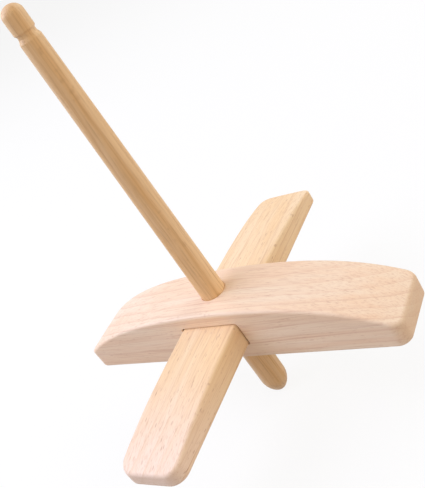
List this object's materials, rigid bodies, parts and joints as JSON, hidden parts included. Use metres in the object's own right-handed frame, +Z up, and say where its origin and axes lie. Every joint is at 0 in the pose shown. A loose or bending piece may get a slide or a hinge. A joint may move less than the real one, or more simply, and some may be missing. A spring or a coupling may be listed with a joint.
{
  "type": "turkish drop spindle",
  "caption": "Wooden hand spindle: a tapered shaft with a grooved knob carries crossed, arched arms that interlock and slide off, for spinning yarn and winding it into a ball.",
  "frame": {"origin": "the middle of the flat on the shaft's lower tip", "axes": "+Z up along the shaft to its knob, X along the outer arm, Y along the inner arm"},
  "size_m": [0.166, 0.166, 0.2031],
  "materials": {
    "shaft_wood": "smooth sanded beech, thin clear oil",
    "outer_arm_wood": "smooth sanded pale beech, matte",
    "inner_arm_wood": "smooth sanded pale beech, matte"
  },
  "bodies": {
    "shaft": {"shaft": "shaft_wood"},
    "arms": {"outer_arm": "outer_arm_wood", "inner_arm": "inner_arm_wood"}
  },
  "joints": [
    {"name": "arms_slide", "type": "slide", "parent": "shaft", "child": "arms", "axis": [0, 0, 1], "range_m": [0, 0.169]}
  ]
}
